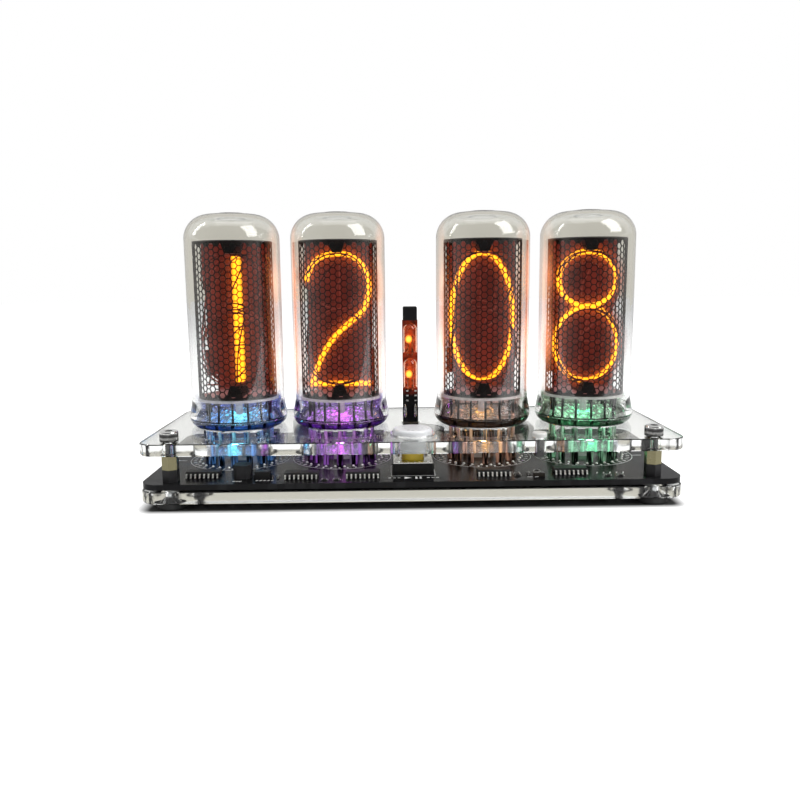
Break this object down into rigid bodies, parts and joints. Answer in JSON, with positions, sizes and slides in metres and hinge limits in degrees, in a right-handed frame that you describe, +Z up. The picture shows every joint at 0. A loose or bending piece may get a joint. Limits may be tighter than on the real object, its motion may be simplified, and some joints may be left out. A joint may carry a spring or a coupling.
{
  "type": "nixie tube clock",
  "caption": "Desk clock with glass glow-discharge digit tubes on a clear acrylic plate above a circuit board, neon colon lamps on a post and a push button in front.",
  "frame": {"origin": "middle of the plates' outline, on the table under the rubber feet", "axes": "+X to the right along the row of tubes as the digits are read, +Y to the rear, +Z up"},
  "size_m": [0.154, 0.059, 0.0839],
  "materials": {
    "rubber": "matte",
    "clear_acrylic": "polished, clear",
    "plated_screw": "bright nickel plate",
    "zinc_screw": "zinc plate",
    "white_nylon": "matte",
    "black_nylon": "matte",
    "black_board": "glossy black solder mask",
    "brass_column": "machined",
    "tinned_metal": "tinned",
    "light_body": "white, glossy",
    "lamp_glass": "clear",
    "lamp_electrode": "glowing",
    "black_plastic": "matte",
    "chip_plastic": "matte epoxy",
    "yellow_plastic": "satin",
    "white_plastic": "satin",
    "pipe_plastic": "clear",
    "sensor_plastic": "clear epoxy",
    "ferrite": "matte ferrite",
    "can_aluminium": "bright can",
    "stainless": "stainless",
    "envelope_glass": "clear, polished",
    "tube_pin": "nickel",
    "tube_ceramic": "dark sintered",
    "anode_metal": "blackened sheet",
    "shield_metal": "blackened sheet",
    "cathode_metal": "etched sheet",
    "lit_metal": "glowing neon sheath"
  },
  "bodies": {
    "base": {"rubber_feet": "rubber", "base_plate": "clear_acrylic", "base_screws": "zinc_screw", "board_washers": "white_nylon", "main_board": "black_board", "spacer_nuts": "black_nylon", "standoffs": "brass_column", "top_plate": "clear_acrylic", "top_screws": "plated_screw", "pin_sockets": "tinned_metal", "tube_lights": "light_body", "colon_board": "black_board", "colon_header": "black_plastic", "colon_lamps": "lamp_glass", "lamp_electrodes": "lamp_electrode", "colon_cap": "black_plastic", "switch_base": "black_plastic", "switch_cover": "stainless", "light_pipe": "pipe_plastic", "light_sensor": "sensor_plastic", "driver_chips": "chip_plastic", "clock_chip": "chip_plastic", "controller": "chip_plastic", "boost_inductor": "ferrite", "rectifier_diode": "chip_plastic", "boost_transistor": "chip_plastic", "supply_capacitor": "can_aluminium", "cell_holder": "black_plastic", "backup_cell": "stainless", "power_inlet": "stainless"},
    "button": {"switch_stem": "yellow_plastic", "button_cap": "white_plastic"},
    "tube_1": {"glass_1": "envelope_glass", "pins_1": "tube_pin", "insulators_1": "tube_ceramic", "anode_screen_1": "anode_metal", "anode_shield_1": "shield_metal", "cathodes_1": "cathode_metal", "lit_digit_1": "lit_metal"},
    "tube_2": {"glass_2": "envelope_glass", "pins_2": "tube_pin", "insulators_2": "tube_ceramic", "anode_screen_2": "anode_metal", "anode_shield_2": "shield_metal", "cathodes_2": "cathode_metal", "lit_digit_2": "lit_metal"},
    "tube_3": {"glass_3": "envelope_glass", "pins_3": "tube_pin", "insulators_3": "tube_ceramic", "anode_screen_3": "anode_metal", "anode_shield_3": "shield_metal", "cathodes_3": "cathode_metal", "lit_digit_3": "lit_metal"},
    "tube_4": {"glass_4": "envelope_glass", "pins_4": "tube_pin", "insulators_4": "tube_ceramic", "anode_screen_4": "anode_metal", "anode_shield_4": "shield_metal", "cathodes_4": "cathode_metal", "lit_digit_4": "lit_metal"}
  },
  "joints": [
    {"name": "button_press", "type": "slide", "parent": "base", "child": "button", "axis": [0, 0, -1], "range_m": [0, 0.0003], "stiffness_N_per_m": 1500, "springref_m": -0.0004},
    {"name": "tube_1_unplug", "type": "slide", "parent": "base", "child": "tube_1", "axis": [0, 0, 1], "range_m": [0, 0.014]},
    {"name": "tube_2_unplug", "type": "slide", "parent": "base", "child": "tube_2", "axis": [0, 0, 1], "range_m": [0, 0.014]},
    {"name": "tube_3_unplug", "type": "slide", "parent": "base", "child": "tube_3", "axis": [0, 0, 1], "range_m": [0, 0.014]},
    {"name": "tube_4_unplug", "type": "slide", "parent": "base", "child": "tube_4", "axis": [0, 0, 1], "range_m": [0, 0.014]}
  ]
}
